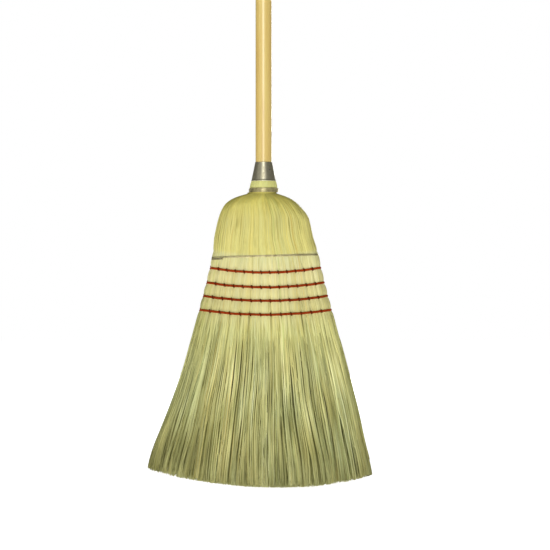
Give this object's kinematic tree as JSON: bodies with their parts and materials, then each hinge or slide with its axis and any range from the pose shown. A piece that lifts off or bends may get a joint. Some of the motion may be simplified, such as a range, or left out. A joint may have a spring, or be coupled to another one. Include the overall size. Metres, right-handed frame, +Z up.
{
  "type": "corn broom",
  "caption": "Stitched corn broom: round lacquered wood handle, tin ferrule, wire-wound neck, and a flat fan of broomcorn held by a wire band and sewn rows of twine.",
  "frame": {"origin": "on the handle's axis, at the lowest point of the trimmed sweeping edge, so the broom stands on its bristles", "axes": "+Z up along the handle, -Y the front broad face, +X to the right seen from the front"},
  "size_m": [0.3302, 0.06, 1.417],
  "materials": {
    "wood": "satin",
    "tin": "satin",
    "wire": "satin",
    "nail": "satin",
    "corn": "matte",
    "twine": "matte"
  },
  "bodies": {
    "root": {"handle": "wood", "ferrule": "tin", "ferrule_nail_front": "nail", "ferrule_nail_back": "nail", "wire_end_nail": "nail", "wire_start_nail": "nail", "neck_wire_winding": "wire", "core_wire_winding": "wire", "core_corn": "corn", "left_shoulder_corn": "corn", "right_shoulder_corn": "corn", "front_cover_corn": "corn", "back_cover_corn": "corn", "wire_band": "wire", "stitch_wrap_1": "twine", "stitch_lace_1": "twine", "stitch_wrap_2": "twine", "stitch_lace_2": "twine", "stitch_wrap_3": "twine", "stitch_lace_3": "twine", "stitch_wrap_4": "twine", "stitch_lace_4": "twine"}
  },
  "joints": []
}
